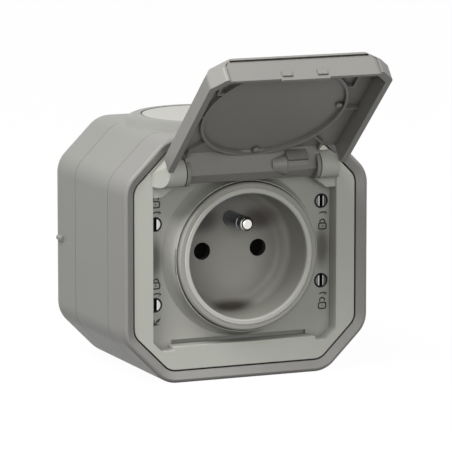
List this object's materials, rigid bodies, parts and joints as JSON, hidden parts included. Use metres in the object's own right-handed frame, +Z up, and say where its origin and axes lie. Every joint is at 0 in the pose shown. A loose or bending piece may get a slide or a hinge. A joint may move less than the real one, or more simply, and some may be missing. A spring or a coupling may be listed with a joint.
{
  "type": "outdoor weatherproof wall socket",
  "caption": "Surface-mounted weatherproof socket: deep octagonal box, bezel cover, light face plate, round well with pin holes and earth pin, and a hinged sealing lid held open.",
  "frame": {"origin": "the middle of the flat wall face, straight behind the middle of the round well", "axes": "+Y into the wall, so the front looks along -Y; +Z up, towards the cable entry; +X to the right"},
  "size_m": [0.0842, 0.1067, 0.1056],
  "materials": {
    "box_grey": "satin",
    "cover_grey": "satin",
    "plate_grey": "satin",
    "lid_grey": "satin",
    "mechanism_grey": "satin",
    "base_dark": "matt",
    "guard_white": "matt",
    "seal_black": "matt",
    "seal_light": "matt",
    "membrane_light": "matt",
    "pin_steel": "brushed",
    "earth_nickel": "bright nickel",
    "spring_steel": "drawn wire",
    "contact_brass": "plain",
    "screw_steel": "zinc plated"
  },
  "bodies": {
    "housing": {"back_box": "box_grey", "body_gasket": "seal_black", "front_cover": "cover_grey", "plate_gasket": "seal_black", "face_plate": "plate_grey", "hinge_pin_left": "pin_steel", "hinge_pin_right": "pin_steel", "socket_cover": "mechanism_grey", "rim_seal": "seal_light", "earth_pin": "earth_nickel", "shutter_spring": "spring_steel", "insert_seal": "seal_black", "mechanism_base": "base_dark", "mechanism_screws": "screw_steel", "contact_neutral": "contact_brass", "contact_live": "contact_brass", "earth_terminal": "contact_brass", "terminal_screws": "screw_steel", "lock_screw_seals": "seal_black", "entry_membrane": "membrane_light"},
    "lid": {"lid": "lid_grey"},
    "shutter": {"safety_shutter": "guard_white"},
    "lock_screw_upper_right": {"lock_screw_upper_right": "screw_steel"},
    "lock_screw_lower_right": {"lock_screw_lower_right": "screw_steel"},
    "lock_screw_upper_left": {"lock_screw_upper_left": "screw_steel"},
    "lock_screw_lower_left": {"lock_screw_lower_left": "screw_steel"}
  },
  "joints": [
    {"name": "lid_hinge", "type": "hinge", "parent": "housing", "child": "lid", "pos_m": [0, -0.0635, 0.0278], "axis": [1, 0, 0], "range_deg": [0, 131.5]},
    {"name": "shutter_slide", "type": "slide", "parent": "housing", "child": "shutter", "axis": [0, 0, 1], "range_m": [-0.0064, 0], "stiffness_N_per_m": 100, "springref_m": 0.003, "deforming": ["shutter_spring"]},
    {"name": "lock_screw_upper_right_turn", "type": "hinge", "parent": "housing", "child": "lock_screw_upper_right", "pos_m": [0.0282, -0.052, 0.0147], "axis": [0, -1, 0], "range_deg": [0, 90]},
    {"name": "lock_screw_lower_right_turn", "type": "hinge", "parent": "housing", "child": "lock_screw_lower_right", "pos_m": [0.0282, -0.052, -0.0107], "axis": [0, -1, 0], "range_deg": [0, 90]},
    {"name": "lock_screw_upper_left_turn", "type": "hinge", "parent": "housing", "child": "lock_screw_upper_left", "pos_m": [-0.0282, -0.052, 0.0107], "axis": [0, -1, 0], "range_deg": [0, 90]},
    {"name": "lock_screw_lower_left_turn", "type": "hinge", "parent": "housing", "child": "lock_screw_lower_left", "pos_m": [-0.0282, -0.052, -0.0147], "axis": [0, -1, 0], "range_deg": [0, 90]}
  ]
}
